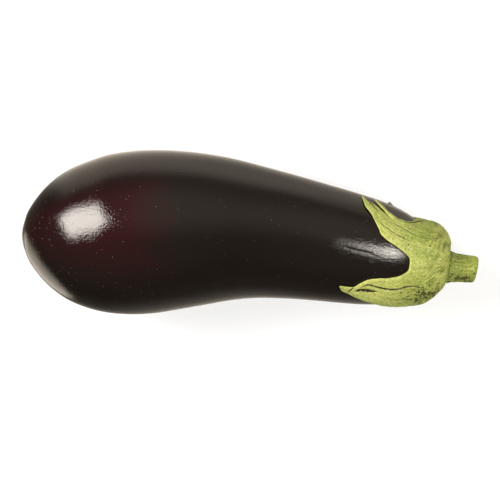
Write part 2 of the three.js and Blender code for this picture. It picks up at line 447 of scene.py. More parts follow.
# A broad fill lifts what is matt, and two small cards over the neck show only as gloss.
FILL_SOFTBOX = {
    "place": (0.55, -0.45, 0.80),
    "target": (0.08, -0.01, 0.03),
    "across": (1.0, 1.0, 0.0),
    "size": (0.80, 0.80),
    "power": 13.7,
    "shows_in": "matt",
}
NECK_CARD = {
    "place": (0.1275, -0.0080, 0.105),
    "target": (0.1275, -0.0080, 0.0),
    "across": (1.0, 0.0, 0.0),
    "size": (0.035, 0.017),
    "power": 0.070,
    "shows_in": "gloss",
}
NECK_DIM_CARD = {
    "place": (0.1005, -0.008, 0.105),
    "target": (0.1005, -0.008, 0.0),
    "across": (1.0, 0.0, 0.0),
    "size": (0.019, 0.010),
    "power": 0.015,
    "shows_in": "gloss",
}

# The studio's surround, by the way out from the object: to the right (+X), to the far side (+Y) and up.
# A span gives two parts of that way and how bright the surround is at each. With no brightness given, one
# tone turns into another between the two.
SURROUND_COLOUR = (1.0, 0.885, 0.735)
NEAR_ABOVE = (0.2, 0.9, 0.09, 0.16)
FAR_ABOVE = (0.25, 0.75, 0.28, 0.58)
FAR_LEFT_SHARE = (-0.35, 0.2, 0.5, 1.0)
NEAR_TO_FAR = (-0.3, 0.38)
BELOW_TO_ABOVE = (-0.15, 0.12)

# Below the level, sides are told apart by the way's turn alone. The far side lies a little to the right.
NEAR_BELOW = (-0.3, -0.8, 0.10, 0.30)
NEAR_LEFT_SHARE = (-0.35, 0.15, 0.42, 1.18)
FAR_BELOW = 1.03
FAR_UNDER = (-0.3, 0.35, FAR_BELOW, 0.63)
BELOW_TO_UNDER = (-0.3, -0.6)
NEAR_TO_FAR_BELOW = (0.16, 0.53)
FAR_SIDE_TURN = 0.5
LEAST_LEVEL = 0.2

# A ragged bright patch low on the near left, and a glow straight below.
PATCH_WAY = (-0.63, -0.32, -0.707)
PATCH_NOISE = (9.0, 3.0)
PATCH_RAGGED = 0.03
PATCH_EDGE = (0.949, 0.957, 0.0, 1.75)
UNDER_GLOW = (-0.8, -0.97, 0.0, 0.22)


# Curves and noise

class Path:
    """A smooth curve through points, read by the distance along it."""

    SPAN_STEPS = 60
    LEAST_REACH = 1e-9

    def __init__(self, points, by_spacing=False):
        points = [np.array(p, float) for p in points]
        if by_spacing:
            row = [2 * points[0] - points[1], *points, 2 * points[-1] - points[-2]]
        else:
            row = [points[0], *points, points[-1]]
        t = np.linspace(0, 1, self.SPAN_STEPS, endpoint=False)[:, None]
        spans = []
        for four in zip(row, row[1:], row[2:], row[3:]):
            gaps = [1.0, 1.0, 1.0]
            if by_spacing:
                gaps = [np.linalg.norm(b - a) ** 0.5 for a, b in zip(four, four[1:])]
            leave = self.slope(*four[:3], *gaps[:2]) * gaps[1]
            arrive = self.slope(*four[1:], *gaps[1:]) * gaps[1]
            rise = 3 * t**2 - 2 * t**3
            bend_out = t**3 - 2 * t**2 + t
            bend_in = t**3 - t**2
            spans.append((1 - rise) * four[1] + rise * four[2] + bend_out * leave + bend_in * arrive)
        self.measure(np.concatenate([*spans, points[-1:]]))

    def measure(self, points):
        self.points = points
        steps = np.linalg.norm(np.diff(points, axis=0), axis=1)
        self.lengths = np.concatenate([[0.0], np.cumsum(steps)])
        self.length = self.lengths[-1]
        self.slopes = np.gradient(points, self.lengths, axis=0)

    def average(self, points, reach):
        """Each point averaged with those up to a reach on either side of it."""
        steps = np.diff(self.lengths)[:, None]
        middles = (points[1:] + points[:-1]) / 2
        sums = np.concatenate([0 * points[:1], np.cumsum(middles * steps, axis=0)])
        span = self.read(sums, self.lengths + reach) - self.read(sums, self.lengths - reach)
        width = np.maximum(2 * reach, self.LEAST_REACH)[:, None]
        return np.where(reach[:, None] > 0, span / width, points)

    def evened(self, reach):
        """Takes out the small changes of bend, as gloss would show them, and keeps the curve's shape."""
        to_end = np.minimum(self.lengths, self.length - self.lengths)
        reach = np.minimum(reach, EVEN_SHARE * to_end)
        once = self.average(self.points, reach)
        self.measure(2 * once - self.average(once, reach))
        return self

    @staticmethod
    def slope(a, b, c, first_gap, second_gap):
        return (b - a) / first_gap - (c - a) / (first_gap + second_gap) + (c - b) / second_gap

    def read(self, columns, distance):
        return np.stack([np.interp(distance, self.lengths, column) for column in columns.T], axis=-1)

    def at(self, distance):
        return self.read(self.points, distance)

    def heading(self, distance):
        return unit(self.read(self.slopes, distance))


def unit(vectors):
    return vectors / np.linalg.norm(vectors, axis=-1, keepdims=True)


def smoothstep(value, low, high):
    share = np.clip((value - low) / (high - low), 0, 1)
    return share * share * (3 - 2 * share)


def noise_at(*coordinates):
    """Smooth noise from -1 to 1 at each place, given as three arrays of one shape."""
    columns = np.broadcast_arrays(*coordinates)
    places = np.stack([c.ravel() for c in columns], axis=-1)
    values = np.array([noise.noise(Vector(p)) for p in places.tolist()])
    return values.reshape(columns[0].shape)


def ripple(kind, along, x, y):
    """Noise of one kind of relief, at lengths along a piece and places on the unit circle round it."""
    return noise_at(along / kind["length"], x * kind["round"], y * kind["round"])


spine = Path(SPINE_POINTS, by_spacing=True).evened(SPINE_EVENING)
skin = Path(FRUIT_STATIONS).evened(SKIN_EVENING)


def around(distance, angle, radius):
    """Points at distances along the spine, angles round it from straight up towards +Y, and radii."""
    inside = np.clip(distance, 0, spine.length)
    tangent = spine.heading(inside)
    side = unit(np.cross((0.0, 0.0, 1.0), tangent))
    top = np.cross(tangent, side)
    past_end = tangent * (distance - inside)[..., None]
    outward = top * (radius * np.cos(angle))[..., None] + side * (radius * np.sin(angle))[..., None]
    return spine.at(inside) + past_end + outward


# Meshes

def grid_faces(numbers, closed):
    """Quads between the rows and columns of a grid of vertex numbers."""
    if closed:
        numbers = np.concatenate([numbers, numbers[:, :1]], axis=1)
    corners = [numbers[:-1, :-1], numbers[:-1, 1:], numbers[1:, 1:], numbers[1:, :-1]]
    return np.stack(corners, axis=-1).reshape(-1, 4)


def make_piece(name, points, faces, facts, material):
    """An object from points in millimetres. Its facts are what the material reads at each point."""
    mesh = bpy.data.meshes.new(name)
    mesh.from_pydata((points * MM).tolist(), [], faces)
    for fact, values in facts.items():
        layer = mesh.attributes.new(fact, "FLOAT_VECTOR", "POINT")
        layer.data.foreach_set("vector", np.asarray(values, np.float32).ravel())
    mesh.polygons.foreach_set("use_smooth", np.ones(len(mesh.polygons), bool))
    mesh.materials.append(material)
    piece = bpy.data.objects.new(name, mesh)
    bpy.context.scene.collection.objects.link(piece)
    return piece


# The fruit

def neck_crease(run, across, up):
    """How far the skin sinks in the slanting crease on top of the neck."""
    (first, first_turn), (last, last_turn) = CREASE_ENDS
    first_across, last_across = [math.sin(math.radians(turn)) for turn in (first_turn, last_turn)]
    line = first_across + (last_across - first_across) * (run - first) / (last - first)
    wobble = CREASE_WOBBLE * noise_at(run / CREASE_WOBBLE_LENGTH, BETWEEN, BETWEEN)
    off = NECK_RADIUS * (across - line) + wobble
    groove = np.clip(1 + off / CREASE_SIDES[0], 0, 1) * np.clip(1 - off / CREASE_SIDES[1], 0, 1)
    ends = smoothstep(run, first, first + CREASE_FADE) * (1 - smoothstep(run, last - CREASE_FADE, last))
    return CREASE_DEPTH * groove * ends * (up > 0)


def fruit_piece(material):
    """The fruit: a dimpled scar at the blossom end, faint lumps, and an underside level on the floor."""
    skin_length = np.linspace(0, skin.length, FRUIT_RINGS + 1)
    distance, radius = skin.at(skin_length).T
    scar_edge = FRUIT_STATIONS[0][1]
    scar_radius = np.linspace(SMALLEST_RING, scar_edge, SCAR_RINGS, endpoint=False)
    scar_dip = SCAR_DIP * (1 - (scar_radius / scar_edge) ** 2)
    distance = np.concatenate([scar_dip, distance, distance[-1:]])
    radius = np.concatenate([scar_radius, radius, [SMALLEST_RING]])
    run = np.concatenate([scar_radius - scar_edge, skin_length, skin_length[-1:]])
    share = 2 * math.pi * np.arange(FRUIT_SIDES) / FRUIT_SIDES
    angle = CLOSER_AT_TOP * np.sin(share) - share
    distance, turn = np.meshgrid(distance, angle, indexing="ij")
    radius = np.broadcast_to(radius[:, None], turn.shape)
    run = np.broadcast_to(run[:, None], turn.shape)
    across, up = np.sin(turn), np.cos(turn)

    size = radius / LUMP_SIZE
    lumps = LUMP_HEIGHT * noise_at(distance / LUMP_SIZE, across * size, up * size)
    ribs = NECK_RIBS["height"] * ripple(NECK_RIBS, distance, across, up)
    swell = smoothstep(run, *SWELL_START) * (1 - smoothstep(run, *SWELL_END))
    swollen = radius + swell * (lumps + ribs * smoothstep(run, *NECK_RIB_START))
    points = around(distance, turn, swollen - neck_crease(run, across, up))
    points[..., 2] = np.maximum(points[..., 2], 0)

    flow = np.stack([run * MM, across, up], axis=-1)
    numbers = np.arange(turn.size).reshape(turn.shape)
    faces = grid_faces(numbers, closed=True).tolist()
    facts = {"flow": flow.reshape(-1, 3)}
    return make_piece("fruit_skin", points.reshape(-1, 3), faces, facts, material)


# The calyx and stem

def skin_length_to_hole():
    falling = skin.points[:, 0] > FRUIT_STATIONS[-3][0]
    return np.interp(-STEM_HOLE_RADIUS, -skin.points[falling, 1], skin.lengths[falling])


hole_length = skin_length_to_hole()


def off_skin(reach, angle, height):
    """Points off the skin. Heights stand square to it, but near the hole they lean over along the stem."""
    where = hole_length - reach
    foot = skin.at(where)
    heading = skin.heading(where)
    lean = 1 - smoothstep(reach, 0, CROWN_REACH)[..., None]
    square = np.stack([-heading[..., 1], heading[..., 0]], axis=-1)
    rise = unit(square * (1 - lean) + np.array([1.0, 0.0]) * lean) * height[..., None]
    return around(foot[..., 0] + rise[..., 0], angle, foot[..., 1] + rise[..., 1])


def wall_thickness(reach, to_margin):
    """The lesser of the full wall and the wall that swells from the margin, without a corner."""
    full = WALL_AT_TIPS + (WALL_AT_CROWN - WALL_AT_TIPS) * np.exp(-((reach / WALL_FADE) ** 2))
    swelling = EDGE_WALL + EDGE_SLOPE * to_margin
    return (full**-WALL_ROUNDING + swelling**-WALL_ROUNDING) ** (-1 / WALL_ROUNDING)


def flat_path(places):
    return Path([(angle * MM_PER_DEGREE, reach) for angle, reach in places])


def flat_line(places, steps, seed):
    """Evenly spaced places along a margin, which wavers a little as a grown edge does."""
    path = flat_path(places)
    share = np.linspace(0, 1, steps + 1)
    distance = share * path.length
    heading = path.heading(distance)
    square = np.stack([-heading[:, 1], heading[:, 0]], axis=-1)
    waver = WAVER * noise_at(distance / WAVER_LENGTH, seed + BETWEEN, WAVER_ROW) * np.sin(math.pi * share)
    return path.at(distance) + square * waver[:, None]


def cells(*lengths):
    return max(2, math.ceil(max(lengths) / CELL))


def calyx_sheets():
    """The flat calyx as grids of (place, lift, fibre, closed or not), and the points of its margin."""
    sheets = []
    margin = []
    crown_edge = []
    for i, lobe in enumerate(LOBES):
        turn = 360 if i + 1 == len(LOBES) else 0
        next_angle, next_reach = LOBES[(i + 1) % len(LOBES)]["left"][0]
        sides = [[*lobe["left"], lobe["tip"]], [*lobe["right"], lobe["tip"]]]
        rows = cells(*[flat_path(side).length for side in sides])
        left = flat_line(sides[0], rows, 2 * i)
        right = flat_line(sides[1], rows, 2 * i + 1)
        columns = cells(np.linalg.norm(right[0] - left[0]))
        share = np.linspace(0, 1, columns + 1)
        places = left[:, None] * (1 - share)[:, None] + right[:, None] * share[:, None]
        lift = lobe["lift"] * (np.linspace(0, 1, rows + 1)[:, None] ** LIFT_POWER) * np.ones(columns + 1)
        fibre = np.broadcast_to(places[0, :, 0], lift.shape)
        sheets.append((places, lift, fibre, False))
        crown_edge.append(places[0, :-1])
        margin += [left, right]
        if lobe["gap"]:
            way = [lobe["right"][0], *lobe["gap"], (next_angle + turn, next_reach)]
            gap = flat_line(way, cells(flat_path(way).length), FIRST_GAP_SEED + i)
            crown_edge.append(gap[:-1])
            margin.append(gap)
    edge = np.concatenate(crown_edge)
    rows = cells(edge[:, 1].max())
    reach = edge[:, 1] * np.linspace(0, 1, rows + 1)[:, None]
    fibre = np.broadcast_to(edge[:, 0], reach.shape)
    sheets.append((np.stack([fibre, reach], axis=-1), np.zeros_like(reach), fibre, True))
    once = np.concatenate(margin)
    one_turn = np.array([360 * MM_PER_DEGREE, 0.0])
    return sheets, np.concatenate([once - one_turn, once, once + one_turn])


def nearest(places, targets):
    """For each flat place, the distance to the nearest target and that target's number."""
    tree = kdtree.KDTree(len(targets))
    for i, (x, y) in enumerate(targets.tolist()):
        tree.insert((x, y, 0.0), i)
    tree.balance()
    found = [tree.find((x, y, 0.0)) for x, y in places.tolist()]
    return np.array([f[2] for f in found]), np.array([f[1] for f in found])


def crack_depths(places):
    """How deep each place lies in a split, from 0 to 1."""
    depth = np.zeros(len(places))
    for crack in CRACKS:
        path = flat_path(crack["places"])
        share = np.linspace(0, 1, math.ceil(path.length / CRACK_STEP) + 1)
        along = share * path.length
        distance, number = nearest(places, path.at(along))
        seed = crack["places"][0][0]
        knots = KNOT_MEAN + KNOT_SWING * noise_at(along / KNOT_LENGTH, seed, BETWEEN)
        swelling = crack["width"] * np.sin(math.pi * share) ** CRACK_TAPER * knots
        width = LEAST_CRACK_WIDTH + swelling[number]
        depth = np.maximum(depth, crack["depth"] * np.exp(-((distance / width) ** 2)))
    return depth


def numbered(sheets):
    """Each place once, with its lift and fibre, and the faces and grids of vertex numbers over them."""
    flat = np.concatenate([places.reshape(-1, 2) for places, _, _, _ in sheets])
    lifts = np.concatenate([lift.ravel() for _, lift, _, _ in sheets])
    fibres = np.concatenate([fibre.ravel() for _, _, fibre, _ in sheets])
    keys = np.round(flat * PLACES_PER_MM).astype(np.int64)
    _, first, numbers = np.unique(keys, axis=0, return_index=True, return_inverse=True)
    grids = []
    faces = []
    start = 0
    for _, lift, _, closed in sheets:
        grid = numbers.ravel()[start:start + lift.size].reshape(lift.shape)
        start += lift.size
        grids.append(grid)
        faces += [list(dict.fromkeys(face)) for face in grid_faces(grid, closed).tolist()]
    return flat[first], lifts[first], fibres[first], [f for f in faces if len(f) > 2], grids


def open_edges(faces):
    """The edges that only one face has, each in that face's direction."""
    edges = {edge for face in faces for edge in zip(face, face[1:] + face[:1])}
    return [(a, b) for a, b in edges if (b, a) not in edges]


def calyx_relief(reach, grain, angle, to_margin):
    """The height of the relief at each place, and how high the place is in a fold, for the painted light and
    shade of its ridges and hollows.
    """
    x, y = np.cos(angle), np.sin(angle)
    fibres = ripple(CALYX_FIBRES, reach, np.cos(grain), np.sin(grain))
    lumps = ripple(CALYX_LUMPS, reach, x, y)
    pits = ripple(CALYX_PITS, reach, x, y)
    lines = ripple(MARGIN_LINES, to_margin, x, y) * np.exp(-((to_margin / MARGIN_LINES_REACH) ** 2))
    slanting = reach + WRINKLE_SLANT * FLAT_RADIUS * np.sin(angle - WRINKLE_MIDDLE)
    near_crown = np.exp(-(((reach - WRINKLE_REACH) / WRINKLE_SPREAD) ** 2))
    wrinkles = near_crown * (1 - WRINKLE_SHARPNESS * np.abs(ripple(CALYX_WRINKLES, slanting, x, y)))

    fine = CALYX_FIBRES["height"] * fibres + CALYX_WRINKLES["height"] * wrinkles
    fine += CALYX_LUMPS["height"] * lumps + MARGIN_LINES["height"] * lines + CALYX_PITS["height"] * pits
    off_angle = (np.degrees(angle) - SHOULDER_PLACE[0]) / SHOULDER_SPREAD[0]
    off_reach = (reach - SHOULDER_PLACE[1]) / SHOULDER_SPREAD[1]
    shoulder = SHOULDER_HEIGHT * np.exp(-(off_angle**2) - off_reach**2)
    relief = smoothstep(to_margin, *RELIEF_FROM_MARGIN) * fine + shoulder
    painted_fold_shading = FOLD_MIDDLE + FOLD_FROM_WRINKLES * wrinkles + FOLD_FROM_LINES * lines + FOLD_FROM_PITS * pits
    return relief * smoothstep(reach, *RELIEF_FROM_STEM), painted_fold_shading


def rounded_rim(outer, inner, edges):
    """Rounds the open edges over from the outer face to the inner. Gives the rows of points between,
    the numbers of the vertices at the edges, and the faces."""
    count = len(outer)
    outward = np.zeros((count, 3))
    for a, b in edges:
        square = np.cross(outer[b] - outer[a], outer[a] - inner[a])
        outward[a] += square
        outward[b] += square
    on_rim = np.array(sorted({a for a, _ in edges}))
    order = {number: i for i, number in enumerate(on_rim.tolist())}
    share = np.arange(1, RIM_STEPS)[:, None, None] / RIM_STEPS
    bulge = RIM_BULGE * np.sin(math.pi * share) * unit(outward[on_rim])
    rows = outer[on_rim] * (1 - share) + inner[on_rim] * share + bulge
    between = 2 * count + np.arange((RIM_STEPS - 1) * len(on_rim)).reshape(RIM_STEPS - 1, -1)
    strands = np.concatenate([on_rim[None], between, on_rim[None] + count]).tolist()
    faces = []
    for upper, lower in zip(strands, strands[1:]):
        for a, b in edges:
            i, j = order[a], order[b]
            faces.append([upper[i], lower[i], lower[j], upper[j]])
    return rows, on_rim, faces


def stem_rows(angle, crown_top, crown_radius):
    """Rows of points from the middle of the cut end, over its rim and down the ridged stem to the crown.
    With them come heights, how near each is to the cut's middle, and how each row meets the crown."""
    foot = FRUIT_STATIONS[-1][0]
    length = STEM_STATIONS[-1][0]
    profile = Path(STEM_STATIONS)
    crown_height = crown_top - foot
    low = np.interp(crown_height, profile.points[:, 0], profile.lengths)
    height, radius = profile.at(np.linspace(profile.length, low, STEM_ROWS + 1)[:-1]).T
    blend = np.exp(-(height - crown_height) / STEM_FOOT_LENGTH)
    radius = radius + blend * (crown_radius - np.interp(crown_height, *profile.points.T))
    inward = np.linspace(CUT_MIDDLE_SHARE, 1, CUT_ROWS, endpoint=False)
    height = np.concatenate([length - CUT_HOLLOW * (1 - inward**2), height])
    radius = np.concatenate([inward * radius[0], radius])[:, None]
    blend = np.concatenate([np.zeros(CUT_ROWS), blend])[:, None]
    height, turn = np.meshgrid(height, angle, indexing="ij")
    across, up = np.sin(turn), np.cos(turn)

    ridges = 1 + STEM_RIDGE_SHARE * np.cos(STEM_RIDGES * turn) * (1 - blend)
    relief = STEM_GRAIN["height"] * ripple(STEM_GRAIN, height, across, up)
    relief += STEM_KNOBS["height"] * ripple(STEM_KNOBS, height, across, up)
    ridged = radius * ridges + relief * (1 - blend) * np.minimum(1, radius / radius.max())
    slant = STEM_CUT_SLANT * ridged * across * (height / length) ** SLANT_POWER
    points = around(foot + height + slant, turn, ridged)
    cut = np.zeros_like(turn)
    cut[:CUT_ROWS] = 1 - (1 - CUT_FACT_AT_RIM) * inward[:, None]
    return points, height, cut, blend


def calyx_facts(reach, grain, angle, to_margin, crack, painted_fold_shading):
    """What the material reads on the calyx: the run of its fibres in metres, its tints, among them painted
    shade, and its folds, which carry painted light and shade.
    """
    degrees = np.degrees(angle)
    # Painted shade: the mottle field also darkens the near side and the underside, as shade.
    mottle_and_shade = np.exp(-(((degrees - MOTTLE_AND_SHADE_ANGLE) / MOTTLE_AND_SHADE_SPREAD) ** 2))
    mottle_and_shade *= smoothstep(reach, *MOTTLE_AND_SHADE_START) * (1 - smoothstep(reach, *MOTTLE_AND_SHADE_END))
    under = UNDER_MOTTLE_AND_SHADE * smoothstep(np.abs(degrees - UNDER_ANGLE), *UNDER_SPAN)
    rim = np.exp(-((to_margin / RIM_WIDTH) ** 2))
    zero = np.zeros_like(reach)
    return {
        "fibre": np.stack([reach, np.cos(grain) * FLAT_RADIUS, np.sin(grain) * FLAT_RADIUS], axis=-1) * MM,
        "tint": np.stack([rim, crack, np.maximum(mottle_and_shade, under)], axis=-1),
        "part": np.stack([zero, zero, painted_fold_shading], axis=-1),
    }


def stem_facts(turn, height, cut, blend):
    """What the material reads on the stem, in the same order as on the calyx."""
    across, up = np.sin(turn) * STEM_FIBRE_RADIUS, np.cos(turn) * STEM_FIBRE_RADIUS
    # Painted shade: the stem's mottle is strongest on its near side, which it also darkens as shade.
    mottle_and_shade = STEM_MOTTLE + STEM_NEAR_MOTTLE_AND_SHADE * smoothstep(-np.sin(turn), *STEM_NEAR_SPAN)
    zero = np.zeros_like(cut)
    on_stem = np.broadcast_to(1 - blend, cut.shape)
    return {
        "fibre": np.stack([-height, up, across], axis=-1) * MM,
        "tint": np.stack([zero, zero, mottle_and_shade], axis=-1),
        "part": np.stack([on_stem, cut, np.full_like(cut, FOLD_MIDDLE)], axis=-1),
    }


def green_piece(material):
    """The calyx and stem as one closed skin: outer and inner faces, rounded rim, stem and cut end."""
    sheets, margin = calyx_sheets()
    places, lift, fibre, faces, grids = numbered(sheets)
    angle = places[:, 0] / FLAT_RADIUS
    reach = places[:, 1]
    grain = fibre / FLAT_RADIUS
    to_margin, _ = nearest(places, margin)
    crack = crack_depths(places)
    relief, painted_fold_shading = calyx_relief(reach, grain, angle, to_margin)
    wall = wall_thickness(reach, to_margin) + relief
    wall -= crack * np.minimum(wall - CRACK_FLOOR, DEEPEST_CRACK)
    inner_height = SKIN_GAP + lift
    outer = off_skin(reach, angle, inner_height + wall)
    inner = off_skin(reach, angle, inner_height)
    rim, on_rim, rim_faces = rounded_rim(outer, inner, open_edges(faces))

    # The stem rises from the crown's innermost row, and the inner face is closed under it.
    count = len(places)
    hole = grids[-1][0]
    foot = skin.at(hole_length)
    crown_top = foot[0] + SKIN_GAP + WALL_AT_CROWN
    stem, height, cut, blend = stem_rows(angle[hole], crown_top, foot[1])
    first_stem = 2 * count + rim.size // 3
    stem_numbers = first_stem + np.arange(height.size).reshape(height.shape)
    stem_faces = grid_faces(np.concatenate([stem_numbers, hole[None]]), closed=True)
    middle = first_stem + height.size
    under_faces = [[a + count, b + count, middle] for a, b in zip(hole, np.roll(hole, -1))]
    centre = around(np.array(foot[0] + SKIN_GAP), np.array(0.0), np.array(0.0))

    points = np.concatenate([outer, inner, rim.reshape(-1, 3), stem.reshape(-1, 3), centre[None]])
    all_faces = faces + [[n + count for n in reversed(face)] for face in faces]
    all_faces += rim_faces + stem_faces.tolist() + under_faces
    on_calyx = calyx_facts(reach, grain, angle, to_margin, crack, painted_fold_shading)
    on_stem = stem_facts(np.broadcast_to(angle[hole], height.shape), height, cut, blend)
    facts = {}
    for name, values in on_calyx.items():
        rim_values = np.tile(values[on_rim], (RIM_STEPS - 1, 1))
        stem_values = on_stem[name].reshape(-1, 3)
        facts[name] = np.concatenate([values, values, rim_values, stem_values, np.zeros((1, 3))])
    return make_piece("calyx_and_stem_skin", points, all_faces, facts, material)


# Materials

class Nodes:
    """Adds nodes to a tree. An input is given by name or number, as a value or another node's output."""

    def __init__(self, tree):
        self.tree = tree
        tree.nodes.clear()

    def add(self, kind, inputs=None, **settings):
        node = self.tree.nodes.new("ShaderNode" + kind)
        for name, value in settings.items():
            setattr(node, name, value)
        for key, value in (inputs or {}).items():
            socket = node.inputs[key]
            if isinstance(value, bpy.types.NodeSocket):
                self.tree.links.new(value, socket)
            elif socket.type == "RGBA" and len(value) == 3:
                socket.default_value = (*value, 1.0)
            else:
                socket.default_value = value
        return node

    def attribute(self, name):
        return self.add("Attribute", attribute_name=name).outputs["Vector"]

    def parts(self, vector):
        return self.add("SeparateXYZ", {0: vector}).outputs

    def scaled(self, vector, scale):
        return self.add("Mapping", {"Vector": vector, "Scale": scale}).outputs[0]

    def noise(self, vector, scale, detail=2.0, roughness=0.5):
        inputs = {"Vector": vector, "Scale": scale, "Detail": detail, "Roughness": roughness}
        return self.add("TexNoise", inputs).outputs[0]

    def ramp(self, value, low, high, at_low=0.0, at_high=1.0):
        """A smooth step from one result to another, as a value goes from low to high."""
        inputs = {"Value": value, "From Min": low, "From Max": high, "To Min": at_low, "To Max": at_high}
        return self.add("MapRange", inputs, clamp=True, interpolation_type="SMOOTHSTEP").outputs[0]

    def math(self, operation, *values):
        return self.add("Math", dict(enumerate(values)), operation=operation).outputs[0]

    def product(self, first, *others):
        for other in others:
            first = self.math("MULTIPLY", first, other)
        return first

    def mix(self, share, a, b):
        return self.add("Mix", {0: share, 6: a, 7: b}, data_type="RGBA").outputs[2]

    def blend(self, share, a, b):
        return self.add("Mix", {0: share, 2: a, 3: b}).outputs[0]

    def laid_over(self, colour, tones, values):
        """A colour with tones laid over it, each by the value that it names."""
        for name, low, high, share, tone in tones:
            colour = self.mix(self.ramp(values[name], low, high, 0.0, share), colour, tone)
        return colour

    def bump(self, height, distance, under=None):
        inputs = {"Height": height, "Distance": distance, "Strength": 1.0}
        if under:
            inputs["Normal"] = under
        return self.add("Bump", inputs).outputs[0]

    def surface(self, **inputs):
        named = {name.replace("_", " "): value for name, value in inputs.items()}
        shader = self.add("BsdfPrincipled", named)
        self.add("OutputMaterial", {"Surface": shader.outputs[0]})


def new_material(name):
    material = bpy.data.materials.new(name)
    material.use_nodes = True
    return material, Nodes(material.node_tree)


def neck_scuffs(n, run, across):
    """Short slanting scuffs about the crease on the neck."""
    flat = n.add("CombineXYZ", {0: run, 1: n.math("MULTIPLY", across, NECK_RADIUS * MM)}).outputs[0]
    turned = n.add("Mapping", {"Vector": flat, "Rotation": (0.0, 0.0, -SCUFF_SLANT)}).outputs[0]
    scuffs = n.noise(n.scaled(turned, SCUFF_STRETCH), *SCUFFS)
    beside = n.ramp(n.math("ABSOLUTE", across), *SCUFF_SIDES)
    return n.product(scuffs, beside, n.ramp(run, *SCUFF_START), n.ramp(run, *SCUFF_END))


def skin_material():
    """Near-black glossy skin: maroon blush, partly painted light on the top and far side, pale specks, brown
    scar, fine peel and scuffed neck.
    """
    material, n = new_material("skin")
    place = n.add("TexCoord").outputs["Object"]
    flow = n.attribute("flow")
    run, across, up = n.parts(flow)[:3]
    clouds = n.noise(place, *SKIN_CLOUDS)
    streaks = n.noise(n.scaled(flow, STREAK_STRETCH), *STREAKS)
    strokes = n.noise(n.scaled(flow, STROKE_STRETCH), *STROKES)
    neck = n.ramp(run, *NECK_SPAN)

    # Painted light: the maroon blush is strongest on top and on the far side, where the key light falls.
    along = n.math("ADD", run, n.math("MULTIPLY_ADD", clouds, BLUSH_AND_PAINTED_LIGHT_WANDER, -BLUSH_AND_PAINTED_LIGHT_WANDER / 2))
    values = {"along": along, "up": up, "across": across, "run": run, "streaks": streaks}
    blush_and_painted_light = n.product(*[n.ramp(values[name], *span) for name, span in BLUSH_AND_PAINTED_LIGHT_SPANS.items()])
    colour = n.mix(blush_and_painted_light, SKIN_DARK, SKIN_MAROON)
    colour = n.mix(n.ramp(clouds, *BLACK_CLOUDS), colour, SKIN_BLACK)

    cell = n.add("TexVoronoi", {"Vector": place, "Scale": SPECK_CELLS})
    chance = n.parts(cell.outputs["Color"])[0]
    chosen = n.math("GREATER_THAN", chance, n.ramp(run, *SPECK_RARITY))
    specks = n.math("MULTIPLY", n.ramp(cell.outputs["Distance"], *SPECK_EDGE), chosen)
    colour = n.mix(n.math("MULTIPLY", specks, SPECK_SHARE), colour, SKIN_SPECK)
    crust = n.noise(place, *SCAR_CRUST)
    scar = n.ramp(n.math("MULTIPLY_ADD", crust, SCAR_RAGGED, run), *SCAR_EDGE)
    colour = n.mix(scar, colour, n.mix(n.ramp(crust, *SCAR_TONES), SCAR_BROWN, SCAR_PALE))

    rough = n.ramp(n.noise(place, *GLOSS_PATCHES), *SKIN_ROUGHNESS)
    rough = n.math("ADD", rough, n.math("MULTIPLY", neck, n.ramp(strokes, *STROKE_ROUGHNESS)))
    rough = n.math("MAXIMUM", rough, n.math("MULTIPLY", scar, SCAR_ROUGHNESS))
    peel = n.bump(n.noise(place, *PEEL), PEEL_HEIGHT)
    stroked = n.bump(n.math("MULTIPLY", strokes, neck), STROKE_HEIGHT, peel)
    scuffed = n.bump(neck_scuffs(n, run, across), SCUFF_HEIGHT, stroked)
    normal = n.bump(n.math("MAXIMUM", specks, scar), SPECK_HEIGHT, scuffed)
    n.surface(Base_Color=colour, Roughness=rough, IOR=SKIN_IOR, Normal=normal)
    return material


